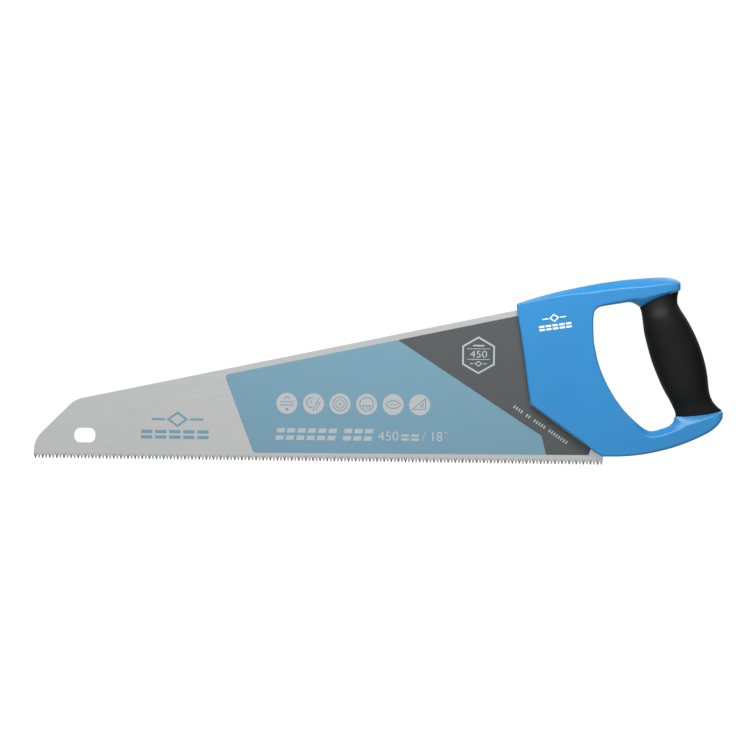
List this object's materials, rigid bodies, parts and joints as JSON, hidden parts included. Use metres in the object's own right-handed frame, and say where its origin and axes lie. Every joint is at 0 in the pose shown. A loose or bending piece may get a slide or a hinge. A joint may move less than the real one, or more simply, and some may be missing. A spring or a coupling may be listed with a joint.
{
  "type": "hand saw",
  "caption": "Panel hand saw with a tapered steel blade, bevelled cross-cut teeth, a hang slot at the toe and a closed two-part moulded handle.",
  "frame": {"origin": "under the middle of the saw's length and thickness, at the level of the tooth tips", "axes": "+X along the tooth line from the toe to the handle, Y across the blade with the pictured left face towards -Y, +Z from the teeth towards the back of the blade"},
  "size_m": [0.5441, 0.03, 0.1489],
  "materials": {
    "blade_steel": "fine brushed and lacquered",
    "blue_plastic": "semi-gloss moulded polypropylene",
    "black_rubber": "satin moulded thermoplastic rubber",
    "screw_steel": "zinc plated",
    "blue_ink": "printed ink under clear lacquer",
    "grey_ink": "printed ink under clear lacquer",
    "pale_ink": "printed ink under clear lacquer",
    "white_ink": "pad-printed ink"
  },
  "bodies": {
    "root": {"saw_blade": "blade_steel", "handle": "blue_plastic", "grip_sleeve": "black_rubber", "screw_upper": "screw_steel", "screw_middle": "screw_steel", "screw_lower": "screw_steel", "print_blue_left": "blue_ink", "print_grey_left": "grey_ink", "print_blue_right": "blue_ink", "print_grey_right": "grey_ink"}
  },
  "joints": []
}
